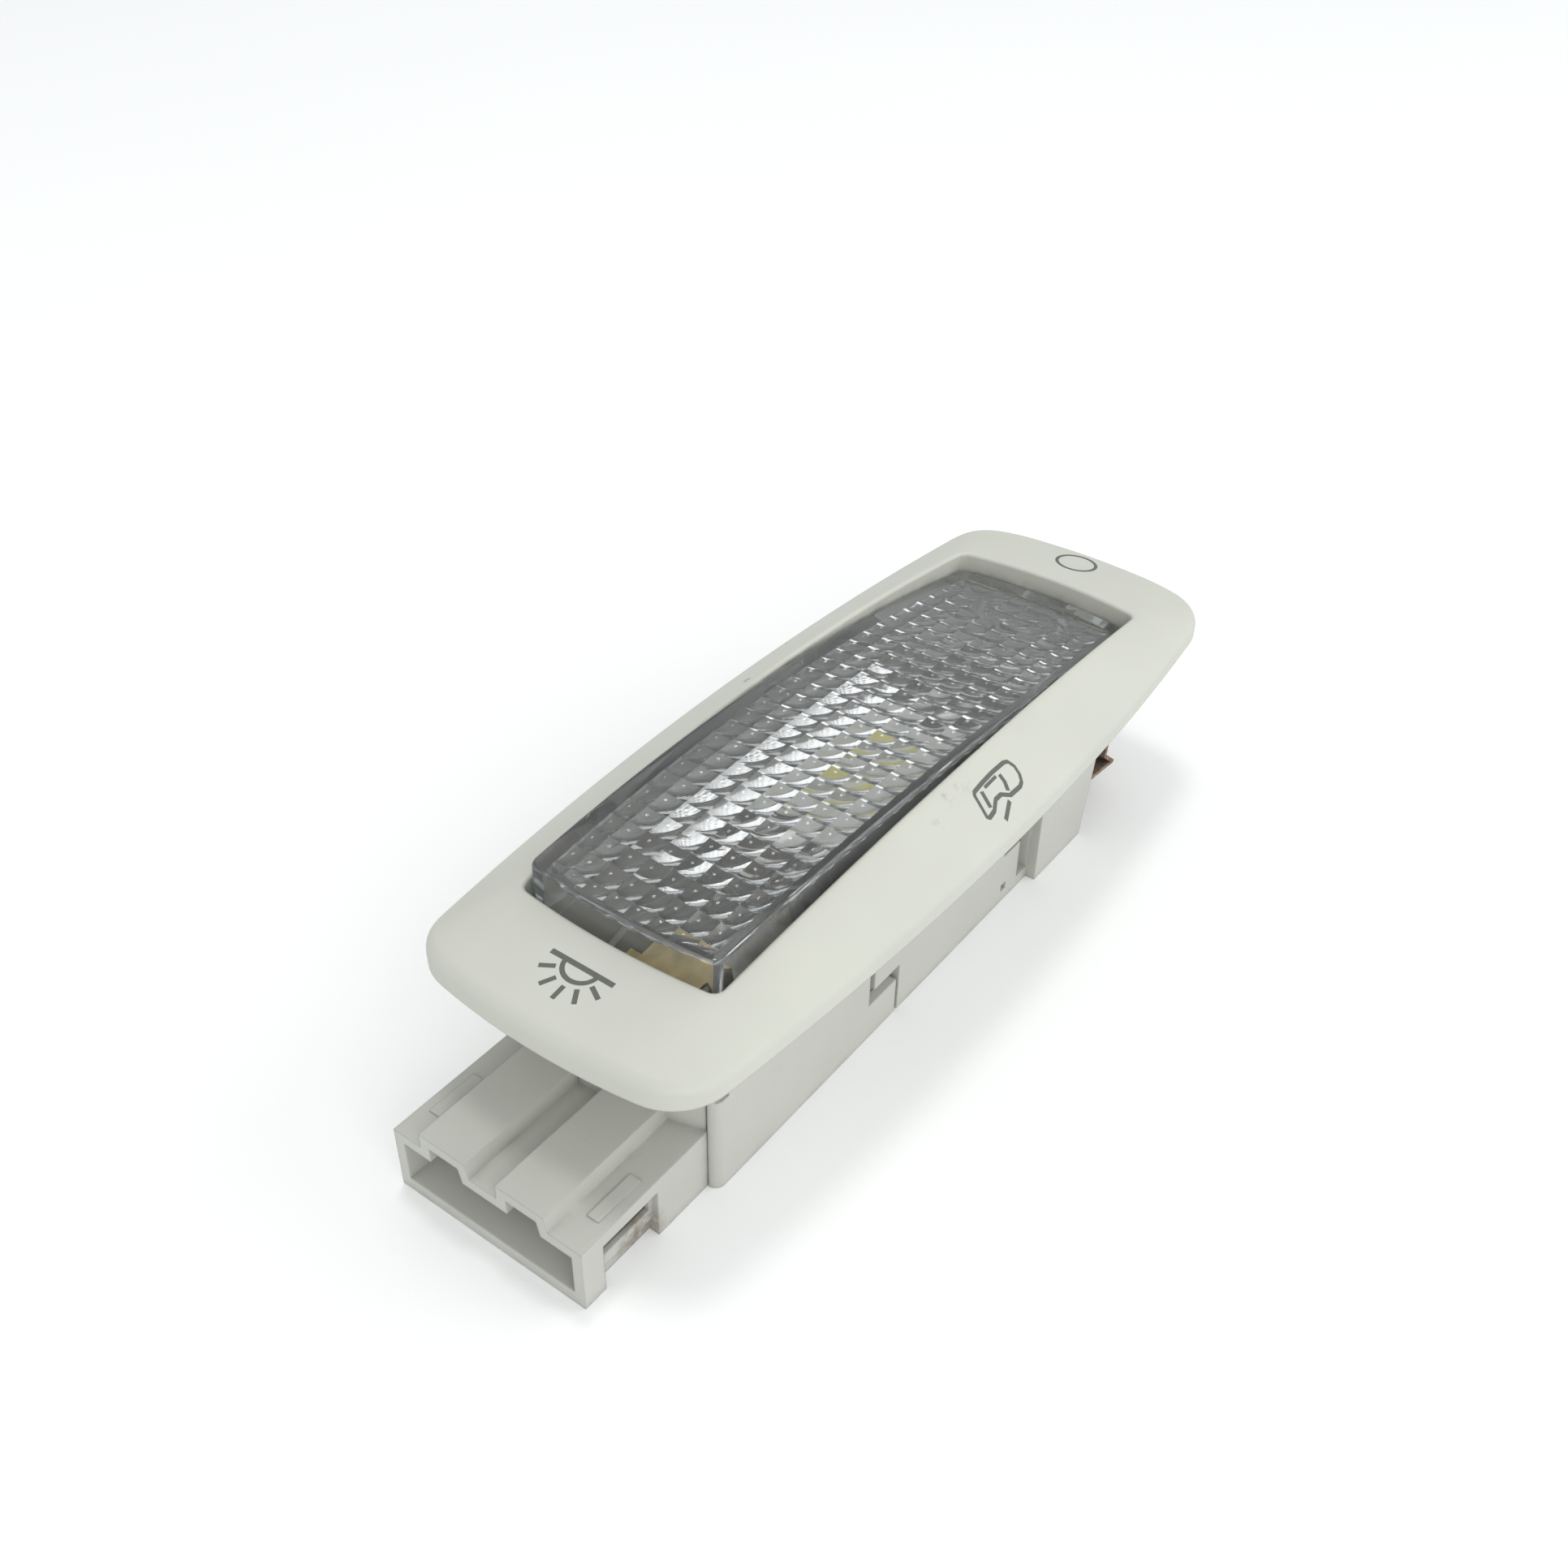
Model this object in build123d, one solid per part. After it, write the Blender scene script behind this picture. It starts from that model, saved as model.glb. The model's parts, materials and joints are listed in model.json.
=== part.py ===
"""Car interior lamp whose smoked lens is itself the three-position rocker switch.

The lamp lies on its back: +Z points out of the lens, +X runs from the plug end to the far end,
and the origin is on the back of the housing under the middle of the lens. Millimetres throughout.
"""
import os
from math import asin, degrees, radians, sin, sqrt

from build123d import *

# Bezel: barrel-shaped trim frame around the lens
bezel_end_border = 11.3
bezel_side_border = 7.4
bezel_side_bow = 3.4
bezel_end_bow = 2.6
bezel_corner = 6.5
bezel_wall = 2.0
seat_z = 20.6
lip_height = 2.2
lip_roll = 0.8
shoulder_slope = 1.6
shoulder_inset = 5.0
flank_steepening = 0.25
mitre_spread = 0.45

# Lens opening and the collar around it
opening_length = 82.4
opening_width = 25.6
opening_side_bow = 0.75
opening_end_bow = 1.05
opening_corner = 1.2
rim_z = 27.8
rim_land = 0.4
crown_drop = 2.8
collar_wall = 1.3

# Rocking lens
lens_gap = 0.5
lens_proud = 0.2
lens_wall = 1.6
lens_thickness = 2.0
lens_edge_break = 0.35
cross_crown = 0.35
prism_pitch_x = 2.78
prism_pitch_y = 2.68
prism_groove = 0.5
prism_groove_width = 1.1
skirt_drop = 2.5
pivot_z = 22.3
pivot_radius = 1.5
pivot_play = 0.05
pivot_end_gap = 0.3
rock_angle = 3.44
post_radius = 5.9
post_wall = 1.4
post_gap = 0.35

# Housing walls below the collar
wall_top = 18.0
housing_wall = 1.2
floor_thickness = 1.6
end_wall = 1.0
end_inset = 0.2
corner_roll = 1.1
foot_taper = 2.0
pad_length = 13.0
pad_out = 1.2
tray_z = 12.0
tray_floor = 1.4
fit_gap = 0.08

# Recess in the terminal cover's front corners
notch_length = 1.9
notch_depth = 0.45
notch_z = 12.3

# Stepped joint between the housing and the terminal cover
cover_length = 25.8
joint_step = 5.2
joint_low_z = 4.85
joint_high_z = 6.6
joint_gap = 0.9
joint_low_gap = 0.5

# Snap slot in the housing side, just before the pad
snap_gap = 0.2
snap_width = 2.3
snap_arm = 3.6
snap_slit = 0.5
snap_z = 7.1
snap_foot = 1.0

# Plug shroud on the carrier
shroud_length = 17.8
shroud_z = 7.9
ridge_height = 1.8
ridge_width = 6.4
ridge_slant = 0.4
ridge_y = 8.35
ridge_pitch = 9.9
shroud_wall = 1.25
shroud_floor = 1.6
socket_depth = 13.8
shroud_back = 2.5
window_front = 2.85
window_length = 7.6
window_stop = 0.6
window_z = 6.2
rail_z = 3.75
rail_low_z = 2.2
rail_wall = 0.6
mark_front = 3.6
mark_length = 6.0
mark_width = 1.4
mark_height = 0.15
channel_stop = 2.7
front_proud = 2.0
front_bow = 2.4
front_gap = 0.35

# Carrier plate inside the housing
plate = 1.6
rib_wall = 0.9
rib_z = 9.0
cross_rib = 2.0
cross_rib_x = 9.0
plate_end_gap = 0.2

# Plug terminals
pin_pitch = 6.5
pin_width = 2.8
pin_thickness = 0.8
pin_reach = 8.0
pin_point = 0.6
pin_play = 0.08

# Switch contacts
leaf_sheet = 0.4
leaf_width = 7.2
leaf_y = -4.4
leaf_z = 21.2
leaf_inset = 3.2
leaf_arm = 3.5
leaf_rise = 1.0
leaf_foot = 3.0
leaf_shoulder = 3.0
leaf_air = 0.25
contact_air = 0.8
off_leaf_width = 4.4
off_leaf_foot = 3.0
off_leaf_gap = 0.8

# Festoon lamp with light-emitting chips
festoon_z = 15.2
cap_radius = 3.5
cap_tip_radius = 1.6
cap_length = 4.1
cap_cone = 1.8
sink_width = 10.4
sink_below = 1.9
sink_above = 1.7
sink_slot = 1.2
sink_slots = 8
board_thickness = 1.2
board_gap = 0.1
chip_size = 5.0
chip_height = 1.6
chip_share = 0.3
chip_window = 3.8
chip_recess = 0.15
resistor_length = 3.2
resistor_width = 1.6
resistor_height = 0.6
resistor_inset = 1.9
resistor_y = 2.2

# Spring holders for the festoon lamp
holder_sheet = 0.5
holder_width = 8.0
holder_z = 19.5
holder_foot = 5.0
holder_room = 1.3
holder_play = 0.09

# Reflector trough
reflector_sheet = 0.6
reflector_z = 8.2
reflector_base = 13.0
reflector_top_width = 21.0
reflector_top_z = 17.0
reflector_gap = 1.2

# Detent spring beside the lens post
detent_sheet = 0.4
detent_width = 4.4
detent_gap = 0.4
detent_crest = 0.8
detent_height = 17.0
detent_foot = 2.4
detent_to_plate_end = 1.05
spring_split = 1.6

# Retaining spring under the far end
clip_sheet = 0.5
clip_width = 25.0
clip_reach = 8.0
clip_notch = 0.8
clip_notch_z = 5.6
clip_tip = 1.8
clip_tip_z = 3.3
clip_return = 6.5
clip_end_z = 4.2
stake_radius = 1.5
stake_play = 0.1
stake_head = 2.4
stake_head_height = 0.8

os.makedirs("parts", exist_ok=True)


def keep(shape, name):
    """Write one finished piece under its own name."""
    export_step(shape, f"parts/{name}.step")


def block(x0, x1, y0, y1, z0, z1):
    """Rectangular block between two corners."""
    return Pos((x0 + x1) / 2, (y0 + y1) / 2, (z0 + z1) / 2) * Box(x1 - x0, y1 - y0, z1 - z0)


def both_sides(shape):
    """The shape and its twin on the other side of the long middle plane."""
    return shape + mirror(shape, about=Plane.XZ)


def both_ends(shape):
    """The shape and its twin at the other end of the lamp."""
    return shape + mirror(shape, about=Plane.YZ)


def arc_radius(half_span, bow):
    """Radius of an arc that rises by the bow over half its span."""
    return (half_span**2 + bow**2) / (2 * bow)


def arc_fall(distance, radius):
    """How far such an arc has fallen at a distance from its middle."""
    return radius - sqrt(radius**2 - distance**2)


def barrel(length, width, side_bow, end_bow, corner):
    """Plan outline whose four sides are shallow arcs, with rounded corners."""
    side_radius = arc_radius(length / 2, side_bow)
    end_radius = arc_radius(width / 2, end_bow)
    side_shift = side_radius - width / 2
    end_shift = end_radius - length / 2
    sides = (Pos(0, side_shift) * Circle(side_radius)) & (Pos(0, -side_shift) * Circle(side_radius))
    ends = (Pos(end_shift, 0) * Circle(end_radius)) & (Pos(-end_shift, 0) * Circle(end_radius))
    outline = sides & ends
    return fillet(outline.vertices(), corner)


def upright(outline, low, high):
    """Plan outline raised from one height to another."""
    return Pos(0, 0, low) * extrude(outline, high - low)


def along_x(section, x0, x1):
    """Cross-section drawn in Y and Z, run from one place to another along the lamp."""
    plane = Plane(origin=(x0, 0, 0), x_dir=(0, 1, 0), z_dir=(1, 0, 0))
    return extrude(plane * section, x1 - x0)


def ribbon(points, sheet):
    """Outline of a bent strip seen edge on, along a path of straight runs."""
    return make_face(offset(Polyline(*points), sheet / 2, side=Side.BOTH))


def bent_strip(points, sheet, y0, y1):
    """Sheet strip bent along a path in X and Z, between two widths in Y."""
    return Pos(0, y1, 0) * extrude(Plane.XZ * ribbon(points, sheet), y1 - y0)


def rod_x(radius, x0, x1, y, z):
    """Round rod along the lamp."""
    return Pos((x0 + x1) / 2, y, z) * Rot(0, 90, 0) * Cylinder(radius, x1 - x0)


def rod_y(radius, x, length, z):
    """Round rod across the lamp, centred on the long middle plane."""
    return Pos(x, 0, z) * Rot(90, 0, 0) * Cylinder(radius, length)


# Heights and widths that several pieces share
bezel_length = opening_length + 2 * bezel_end_border
bezel_width = opening_width + 2 * bezel_side_border
crown_radius = arc_radius(opening_length / 2, crown_drop)
bezel_side_radius = arc_radius(bezel_length / 2, bezel_side_bow)
opening_side_radius = arc_radius(opening_length / 2, opening_side_bow)
through = 1.0
above_all = rim_z + crown_drop + lens_proud
roll_z = seat_z + lip_height - lip_roll
inner_y = opening_width / 2 - opening_side_bow
outer_y = inner_y + housing_wall
carrier_y = inner_y - fit_gap
plate_top = floor_thickness + plate
tray_top = tray_z + tray_floor
off_leaf_z = tray_top + off_leaf_gap
off_leaf_top = off_leaf_z + leaf_sheet
tilt = radians(rock_angle)

# Places along the lamp, from the lens end inwards
body_end = opening_length / 2 - end_inset + end_wall
lens_half = opening_length / 2 - lens_gap
post_x = lens_half - lens_wall / 2 - post_radius
post_flank = post_x - post_radius - (pivot_z - off_leaf_top) * sin(tilt)
detent_x = post_flank - detent_gap - detent_sheet / 2 - detent_crest
plate_end = detent_x + detent_to_plate_end
foot_length = plate_end + plate_end_gap + end_wall + foot_taper
stake_x = foot_length + (body_end - foot_length) / 4
pad_start = foot_length - pad_length
snap_x = pad_start - snap_gap - snap_width
joint_x = -body_end + cover_length

# Festoon lamp, which fills the room between its holders
holder_x = detent_x - detent_foot - holder_room - holder_foot
sink_half = holder_x - cap_cone / 2 - cap_length
board_z = festoon_z + sink_above
chip_z = board_z + board_thickness
chip_x = sink_half * chip_share
resistor_x = sink_half - resistor_inset


def crown(x):
    """Height of the crowned rim at a place along the lamp."""
    return rim_z - arc_fall(x, crown_radius)


def bezel_section(x, inset):
    """Cross-section of the bezel's outer form, or of its hollow when inset."""
    low = wall_top - through
    edge_y = bezel_width / 2 - arc_fall(x, bezel_side_radius)
    rim_y = opening_width / 2 - arc_fall(min(abs(x), opening_length / 2), opening_side_radius) + rim_land
    past_opening = max(0.0, abs(x) - opening_length / 2) / (bezel_length / 2 - opening_length / 2)
    rim_y = rim_y + mitre_spread * past_opening * (edge_y - rim_y)
    slope = (crown(x) - roll_z - lip_roll / 2) / (edge_y - rim_y) + flank_steepening
    lip_z = roll_z + lip_roll * (sqrt(1 + slope**2) - slope) - inset
    top_z = crown(x) - inset
    foot = (edge_y + bezel_wall, lip_z - bezel_wall * slope)
    outline = Curve() + [
        Line((-foot[0], low), (foot[0], low)),
        Line((foot[0], low), foot),
        ThreePointArc(foot, (edge_y, lip_z), (rim_y, top_z)),
        ThreePointArc((rim_y, top_z), (0, top_z + cross_crown), (-rim_y, top_z)),
        ThreePointArc((-rim_y, top_z), (-edge_y, lip_z), (-foot[0], foot[1])),
        Line((-foot[0], foot[1]), (-foot[0], low)),
    ]
    return Plane(origin=(x, 0, 0), x_dir=(0, 1, 0), z_dir=(1, 0, 0)) * make_face(outline)


def bezel_form(inset):
    """Crowned form of the bezel through cross-sections along its length."""
    reach = bezel_length / 2 + bezel_wall
    half = [-reach, -opening_length / 2, -opening_length / 4]
    stations = half + [0] + [-x for x in reversed(half)]
    return loft([bezel_section(x, inset) for x in stations])


def bezel_plan(inset):
    """Outer outline of the bezel, drawn in by an even inset."""
    length = bezel_length - 2 * inset
    width = bezel_width - 2 * inset
    return barrel(length, width, bezel_side_bow, bezel_end_bow, bezel_corner - inset)


def opening_plan(outset):
    """Outline of the lens opening, drawn out or in by an even amount."""
    length = opening_length + 2 * outset
    width = opening_width + 2 * outset
    return barrel(length, width, opening_side_bow, opening_end_bow, opening_corner)


def bezel_lip():
    """Rolled outer edge of the bezel, run around its outline."""
    path = bezel_plan(0).face().outer_wire()
    heading = path % 0
    plane = Plane(origin=path @ 0, x_dir=Vector(0, 0, 1).cross(heading), z_dir=heading)
    turn = lip_roll * (1 - sqrt(0.5))
    outline = Curve() + [
        Line((0, seat_z), (0, roll_z)),
        ThreePointArc((0, roll_z), (turn, roll_z + lip_roll - turn), (lip_roll, roll_z + lip_roll)),
        Line((lip_roll, roll_z + lip_roll), (lip_roll, seat_z)),
        Line((lip_roll, seat_z), (0, seat_z)),
    ]
    return sweep(plane * make_face(outline), path)


def bezel_shoulder():
    """Room for the bezel's form inside its lip, drawn in steeply above the roll."""
    slope_length = sqrt(1 + shoulder_slope**2)
    edge_z = roll_z + lip_roll * (slope_length - shoulder_slope)
    start = lip_roll / 2
    start_z = edge_z + start * shoulder_slope
    low = Pos(0, 0, start_z) * bezel_plan(start)
    high = Pos(0, 0, edge_z + shoulder_inset * shoulder_slope) * bezel_plan(shoulder_inset)
    return upright(bezel_plan(start), seat_z, start_z) + loft([low, high], ruled=True)


def make_bezel():
    """Trim frame: crowned hollow shell with a collar down around the opening."""
    form = bezel_form(0)
    shell = (form & bezel_shoulder()) + bezel_lip()
    hollow = bezel_form(bezel_wall) & upright(bezel_plan(bezel_wall), wall_top, above_all)
    collar = form & upright(opening_plan(collar_wall), wall_top, above_all)
    frame = (shell - hollow) + collar
    frame = frame - upright(opening_plan(0), wall_top - through, above_all)
    return frame - rod_y(pivot_radius + pivot_play, 0, opening_width + 4 * collar_wall, pivot_z)


def crowned_body(top):
    """Slab whose upper face is crowned along and across, with its summit at a given height."""
    half = opening_width / 2
    edge_z = top - cross_crown
    base = pivot_z - skirt_drop - crown_drop
    profile = Curve() + [
        Line((-half, base), (half, base)),
        Line((half, base), (half, edge_z)),
        ThreePointArc((half, edge_z), (0, top), (-half, edge_z)),
        Line((-half, edge_z), (-half, base)),
    ]
    hub = Axis((0, 0, rim_z - crown_radius), (0, 1, 0))
    span = 2 * degrees(asin(bezel_length / 2 / crown_radius))
    return revolve(Plane.YZ * make_face(profile), hub, span).rotate(hub, -span / 2)


def prism_field(top):
    """Space below the lens plate: flat prism faces that follow the crown, parted by a grid of grooves."""
    half = prism_groove_width / 2
    base = pivot_z - skirt_drop - crown_drop
    rows = int(lens_half / prism_pitch_x + 0.5)
    columns = int((opening_width / 2 - lens_gap - lens_wall) / prism_pitch_y)
    plain = []
    grooved = []
    for row in range(-rows - 1, rows + 1):
        x = (row + 0.5) * prism_pitch_x
        before = (x - half, top - arc_fall(x - half, crown_radius))
        after = (x + half, top - arc_fall(x + half, crown_radius))
        plain = plain + [before, after]
        grooved = grooved + [before, (x, (before[1] + after[1]) / 2 + prism_groove), after]
    ends = [(plain[-1][0], base), (plain[0][0], base)]
    faces = make_face(Polyline(*grooved, *ends, close=True))
    field = extrude(Plane.XZ * faces, opening_width / 2, both=True)
    backing = Pos(0, 0, prism_groove) * (Plane.XZ * make_face(Polyline(*plain, *ends, close=True)))
    rise = extrude(backing, prism_groove_width, dir=(0, half, prism_groove), both=True)
    ridge = rise & mirror(rise, about=Plane.XZ)
    return field + [Pos(0, column * prism_pitch_y, 0) * ridge for column in range(-columns, columns + 1)]


def make_lens():
    """Clear rocker: crowned plate with a prism grid, skirt, two pivot pegs and the hollow press post."""
    skirt_z = pivot_z - skirt_drop
    summit = rim_z + lens_proud + cross_crown
    outside = upright(opening_plan(-lens_gap), skirt_z, above_all) & crowned_body(summit)
    lowest = crown(opening_length / 2) - lens_edge_break
    rim = [edge for edge in outside.edges() if edge.bounding_box().min.Z > lowest]
    outside = chamfer(rim, lens_edge_break)
    room = upright(opening_plan(-lens_gap - lens_wall), skirt_z - through, above_all)
    lens = outside - (room & prism_field(summit - lens_thickness))
    post_low = off_leaf_top + post_gap + (post_x + post_radius) * sin(tilt)
    ring = Circle(post_radius) - Circle(post_radius - post_wall)
    post = Pos(post_x, 0, post_low) * extrude(ring, above_all - post_low)
    lens = lens + (post & crowned_body(summit - lens_thickness / 2))
    peg_length = opening_width + 2 * collar_wall - 2 * pivot_end_gap
    pegs = rod_y(pivot_radius, 0, peg_length, pivot_z)
    lens = lens + (pegs - rod_y(2 * pivot_radius, 0, opening_width - 2 * lens_gap - lens_wall, pivot_z))
    return lens.rotate(Axis((0, 0, pivot_z), (0, 1, 0)), rock_angle)


def joint_edges():
    """Where the stepped joint cuts the side wall: upper and lower edge of both mouldings."""
    low_x = joint_x + joint_step
    return joint_x, joint_x + joint_gap, low_x, low_x + joint_low_gap


def make_housing():
    """Main housing: side walls, floor, tapered foot end and the shallow far tray."""
    cover_hi, wall_hi, cover_lo, wall_lo = joint_edges()
    walls = block(wall_hi, body_end, inner_y, outer_y, joint_high_z, wall_top)
    walls = walls + block(wall_lo, body_end, inner_y, outer_y, 0, wall_top)
    walls = walls + block(pad_start, foot_length, inner_y, outer_y + pad_out, 0, tray_top)
    slot = block(snap_x, snap_x + snap_width, 0, outer_y + 2 * pad_out, floor_thickness, tray_z)
    slit = block(snap_x - snap_arm, snap_x, 0, outer_y + pad_out, snap_z, snap_z + snap_slit)
    foot_notch = block(snap_x - snap_arm, snap_x - snap_arm + snap_foot, 0, outer_y + pad_out,
                       floor_thickness, floor_thickness + snap_foot)
    walls = both_sides(walls - slot - slit - foot_notch)
    shell = walls + block(wall_lo, foot_length, -outer_y, outer_y, 0, floor_thickness)
    shell = shell + block(foot_length - foot_taper - end_wall, foot_length, -outer_y, outer_y, 0, tray_top)
    shell = shell + block(foot_length - end_wall, body_end, -outer_y, outer_y, tray_z, tray_top)
    shell = shell + block(body_end - end_wall, body_end, -outer_y, outer_y, tray_z, wall_top)
    far_y = outer_y + 2 * pad_out
    taper = Polyline((foot_length, tray_z), (foot_length - foot_taper, 0), (body_end + through, 0),
                     (body_end + through, tray_z), close=True)
    shell = shell - Pos(0, far_y, 0) * extrude(Plane.XZ * make_face(taper), 2 * far_y)
    stake_low = tray_z - clip_sheet - stake_head_height
    shell = shell + Pos(stake_x, 0, stake_low) * extrude(Circle(stake_radius), tray_z - stake_low)
    return shell + Pos(stake_x, 0, stake_low) * extrude(Circle(stake_head), stake_head_height)


def shroud_profile():
    """Cross-section of the plug shroud: flat box with two slanted key ridges on top."""
    top = shroud_z + ridge_height
    points = [(carrier_y, 0), (carrier_y, shroud_z)]
    for start in (ridge_y, ridge_y - ridge_pitch):
        points = points + [(start, shroud_z), (start, top), (start - ridge_width + ridge_slant, top),
                           (start - ridge_width, shroud_z)]
    points = points + [(-carrier_y, shroud_z), (-carrier_y, 0)]
    return make_face(Polyline(*points, close=True))


def make_terminal_cover():
    """Cover under the terminal end: a floor and two side walls, recessed at their front corners."""
    cover_hi, wall_hi, cover_lo, wall_lo = joint_edges()
    wall = block(-body_end, cover_hi, inner_y, outer_y, 0, wall_top)
    wall = wall + block(-body_end, cover_lo, inner_y, outer_y, 0, joint_low_z)
    front = wall.edges().filter_by(Axis.Z).group_by(Axis.X)[0]
    wall = fillet(front.group_by(Axis.Y)[-1], corner_roll)
    notch = block(-body_end - through, -body_end + notch_length, outer_y - notch_depth, outer_y + through,
                  notch_z, above_all)
    floor_x = -body_end + shroud_back + fit_gap
    return both_sides(wall - notch) + block(floor_x, cover_lo, -inner_y, inner_y, 0, floor_thickness)


def front_wall():
    """Bowed wall on the shroud that closes the lamp's front between the cover's side walls."""
    radius = arc_radius(inner_y, front_bow)
    front = -body_end - front_proud
    bow = Pos(front + radius, 0) * (Circle(radius) - Circle(radius - end_wall))
    reach = Pos(front + radius / 2, 0) * Rectangle(radius, 2 * (inner_y - front_gap))
    return upright(bow & reach, shroud_z - through, wall_top)


def make_carrier():
    """Lamp carrier: plug shroud in front, plate with ribs and rests behind it."""
    front = -body_end - shroud_length
    back = -body_end + shroud_back
    socket_end = front + socket_depth
    profile = shroud_profile()
    carrier = along_x(profile, front, back)
    mouth = along_x(offset(profile, -shroud_wall, kind=Kind.INTERSECTION), front - through, socket_end)
    mouth = mouth & block(front - through, socket_end, -carrier_y, carrier_y, shroud_floor, above_all)
    carrier = carrier - mouth
    window_x = front + window_front
    window_end = window_x + window_length
    side_in = carrier_y - shroud_wall
    far_y = carrier_y + through
    slot_end = window_end - window_stop
    window = block(window_x, slot_end, side_in - through, far_y, rail_z, window_z)
    recess = block(window_x, window_end, side_in + rail_wall, far_y, -through, window_z)
    below = block(window_x, window_end, side_in, far_y, -through, rail_low_z)
    carrier = carrier - both_sides(window + recess + below)
    mark_x = front + mark_front
    mark_y = (carrier_y + ridge_y) / 2
    mark = block(mark_x, mark_x + mark_length, mark_y - mark_width / 2, mark_y + mark_width / 2,
                 shroud_z, shroud_z + mark_height)
    carrier = carrier + both_sides(mark)
    stop_y = ridge_y - ridge_width
    carrier = carrier + front_wall()
    carrier = carrier + block(-body_end - channel_stop, -body_end, ridge_y - ridge_pitch, stop_y,
                              shroud_z, shroud_z + ridge_height)
    carrier = carrier + block(back, plate_end, -carrier_y, carrier_y, floor_thickness, plate_top)
    side_rib = block(back, plate_end, carrier_y - rib_wall, carrier_y, plate_top, rib_z)
    carrier = carrier + both_sides(side_rib)
    rib = block(cross_rib_x - cross_rib / 2, cross_rib_x + cross_rib / 2, -reflector_base / 2,
                reflector_base / 2, plate_top, reflector_z)
    pad = block(holder_x - holder_sheet / 2, holder_x + holder_foot, -holder_width / 2, holder_width / 2,
                plate_top, plate_top + pin_thickness)
    carrier = carrier + both_ends(rib) + both_ends(pad)
    half = pin_width / 2 + pin_play
    slot_top = plate_top + pin_thickness + pin_play
    for y in (pin_pitch, 0, -pin_pitch):
        slot = block(socket_end - through, back + through, y - half, y + half, plate_top, slot_top)
        carrier = carrier - slot
    tunnel_x = cross_rib_x + cross_rib
    return carrier - block(-tunnel_x, tunnel_x, -pin_pitch - half, -pin_pitch + half, plate_top, slot_top)


def make_terminal(y, end_x):
    """Flat plug blade with a pointed tip, lying on the carrier plate."""
    tip = -body_end - shroud_length + socket_depth - pin_reach
    half = pin_width / 2
    outline = Polyline((tip, -half + pin_point), (tip + pin_point, -half), (end_x, -half), (end_x, half),
                       (tip + pin_point, half), (tip, half - pin_point), close=True)
    return Pos(0, y, plate_top) * extrude(make_face(outline), pin_thickness)


def make_cap(side):
    """Festoon end cap: short sleeve with a conical tip."""
    sleeve = rod_x(cap_radius, sink_half, sink_half + cap_length, 0, festoon_z)
    cone = Pos(holder_x, 0, festoon_z) * Rot(0, 90, 0) * Cone(cap_radius, cap_tip_radius, cap_cone)
    cap = sleeve + cone
    return cap if side > 0 else mirror(cap, about=Plane.YZ)


def make_holder(side):
    """Spring holder: foot on the carrier and an upright with a hole for the cap's cone."""
    foot_z = plate_top + pin_thickness
    path = [(holder_x + holder_foot, foot_z + holder_sheet / 2), (holder_x, foot_z + holder_sheet / 2),
            (holder_x, holder_z)]
    strip = bent_strip(path, holder_sheet, -holder_width / 2, holder_width / 2)
    ear = block(holder_x + holder_sheet / 2, holder_x + holder_foot, -pin_pitch - pin_width / 2,
                0, foot_z, foot_z + holder_sheet)
    cone_in = (cap_cone - holder_sheet) / 2
    seat_radius = cap_radius - (cap_radius - cap_tip_radius) * cone_in / cap_cone
    hole = rod_x(seat_radius + holder_play, holder_x - through, holder_x + through, 0, festoon_z)
    holder = strip + ear - hole
    return holder if side > 0 else holder.rotate(Axis.Z, 180)


def make_sink():
    """Aluminium body of the festoon lamp, slotted underneath."""
    low = festoon_z - sink_below
    sink = block(-sink_half, sink_half, -sink_width / 2, sink_width / 2, low, board_z)
    pitch = 2 * sink_half / sink_slots
    for index in range(sink_slots):
        x0 = -sink_half + pitch * index + (pitch - sink_slot) / 2
        sink = sink - block(x0, x0 + sink_slot, -sink_width, sink_width, low - through, low + sink_slot)
    return sink


def make_board():
    """Circuit board on the heat sink's top."""
    half = sink_half - board_gap
    return block(-half, half, -sink_width / 2, sink_width / 2, board_z, chip_z)


def make_chip(side):
    """Light-emitting chip with a shallow square window."""
    x = side * chip_x
    chip = Pos(x, 0, chip_z + chip_height / 2) * Box(chip_size, chip_size, chip_height)
    return chip - Pos(x, 0, chip_z + chip_height) * Box(chip_window, chip_window, 2 * chip_recess)


def make_resistors():
    """Two chip resistors on the lamp's board."""
    places = [(-resistor_x, resistor_y), (resistor_x, -resistor_y)]
    body = Box(resistor_width, resistor_length, resistor_height)
    return Compound(children=[Pos(x, y, chip_z + resistor_height / 2) * body for x, y in places])


def make_reflector():
    """Bright sheet trough below the festoon lamp."""
    base_z = reflector_z + reflector_sheet / 2
    side_y = reflector_top_width / 2
    path = [(-side_y, reflector_top_z), (-reflector_base / 2, base_z), (reflector_base / 2, base_z),
            (side_y, reflector_top_z)]
    half = holder_x - reflector_gap
    return along_x(ribbon(path, reflector_sheet), -half, half)


def make_on_leaf():
    """Brass switch leaf at the plug end: foot, steep rise and a broad flat contact arm under the lens."""
    low = plate_top + leaf_sheet / 2
    tip_x = -lens_half + leaf_inset
    knee_x = tip_x + leaf_arm
    foot_x = knee_x + leaf_rise
    path = [(foot_x + leaf_foot, low), (foot_x, low), (knee_x, leaf_z), (tip_x, leaf_z)]
    side = leaf_y - leaf_width / 2
    leaf = bent_strip(path, leaf_sheet, side, leaf_y + leaf_width / 2)
    foot_side = -pin_pitch + pin_width / 2 + leaf_air
    foot_end = foot_x + leaf_foot + through
    return leaf - block(tip_x, foot_end, side - through, foot_side, 0, leaf_z - leaf_shoulder)


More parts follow.
